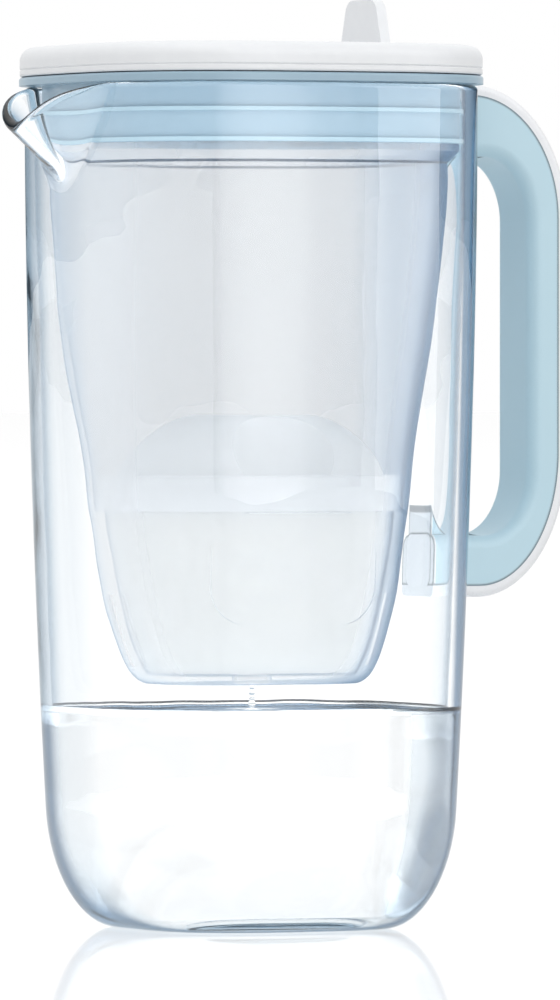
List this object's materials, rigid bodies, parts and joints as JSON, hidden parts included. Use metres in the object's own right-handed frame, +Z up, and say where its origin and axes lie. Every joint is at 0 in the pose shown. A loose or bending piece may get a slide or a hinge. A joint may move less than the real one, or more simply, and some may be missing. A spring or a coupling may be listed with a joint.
{
  "type": "water filter pitcher",
  "caption": "Glass pitcher with beak spout and side handle; lift-out funnel holds a drop-in filter cartridge under a lid with a thumb-lever fill flap",
  "frame": {"origin": "centre of the flat base of the glass body, on the surface the pitcher stands on", "axes": "+Z up, +X towards the handle, -X towards the spout, +Y across"},
  "size_m": [0.182, 0.1304, 0.2839],
  "materials": {
    "clear_glass": "clear soda-lime glass, smooth",
    "core_plastic": "natural white, glass filled",
    "blue_grip_plastic": "light blue, soft satin",
    "white_shell_plastic": "white, satin gloss",
    "pad_plastic": "white, bonded face",
    "steel_screw": "bright stainless",
    "funnel_plastic": "translucent, faintly blue",
    "blue_collar_plastic": "light blue, satin gloss",
    "seal_rubber": "translucent pale blue elastomer",
    "cartridge_plastic": "translucent white",
    "media_granules": "packed granules",
    "mesh_fabric": "fine woven screen",
    "lid_plastic": "white, satin gloss",
    "indicator_plastic": "translucent white",
    "board": "green solder mask",
    "cell_steel": "plated steel"
  },
  "bodies": {
    "jug": {"glass_jug": "clear_glass", "handle_core": "core_plastic", "handle_grip": "blue_grip_plastic", "handle_shell": "white_shell_plastic", "upper_mount_pad": "pad_plastic", "lower_mount_pad": "pad_plastic", "handle_screws": "steel_screw"},
    "funnel_unit": {"funnel": "funnel_plastic", "collar_ring": "blue_collar_plastic", "upper_seal": "seal_rubber", "lower_seal": "seal_rubber"},
    "cartridge": {"cartridge_cup": "cartridge_plastic", "cartridge_cap": "cartridge_plastic", "filter_media": "media_granules", "upper_mesh": "mesh_fabric", "lower_mesh": "mesh_fabric"},
    "lid": {"lid_base": "lid_plastic", "lid_top": "lid_plastic", "hinge_pin": "steel_screw", "circuit_board": "board", "coin_cell": "cell_steel", "battery_cover": "lid_plastic"},
    "flap": {"flip_lid": "lid_plastic"},
    "button": {"indicator_button": "indicator_plastic"}
  },
  "joints": [
    {"name": "funnel_lift", "type": "slide", "parent": "jug", "child": "funnel_unit", "axis": [0, 0, 1], "range_m": [0, 0.19]},
    {"name": "cartridge_lift", "type": "slide", "parent": "funnel_unit", "child": "cartridge", "axis": [0, 0, 1], "range_m": [0, 0.085]},
    {"name": "lid_lift", "type": "slide", "parent": "funnel_unit", "child": "lid", "axis": [0, 0, 1], "range_m": [0, 0.06]},
    {"name": "flap_hinge", "type": "hinge", "parent": "lid", "child": "flap", "pos_m": [0.039, 0, 0.2669], "axis": [0, 1, 0], "range_deg": [0, 60]},
    {"name": "button_press", "type": "slide", "parent": "lid", "child": "button", "axis": [0, 0, -1], "range_m": [0, 0.001], "stiffness_N_per_m": 400}
  ]
}
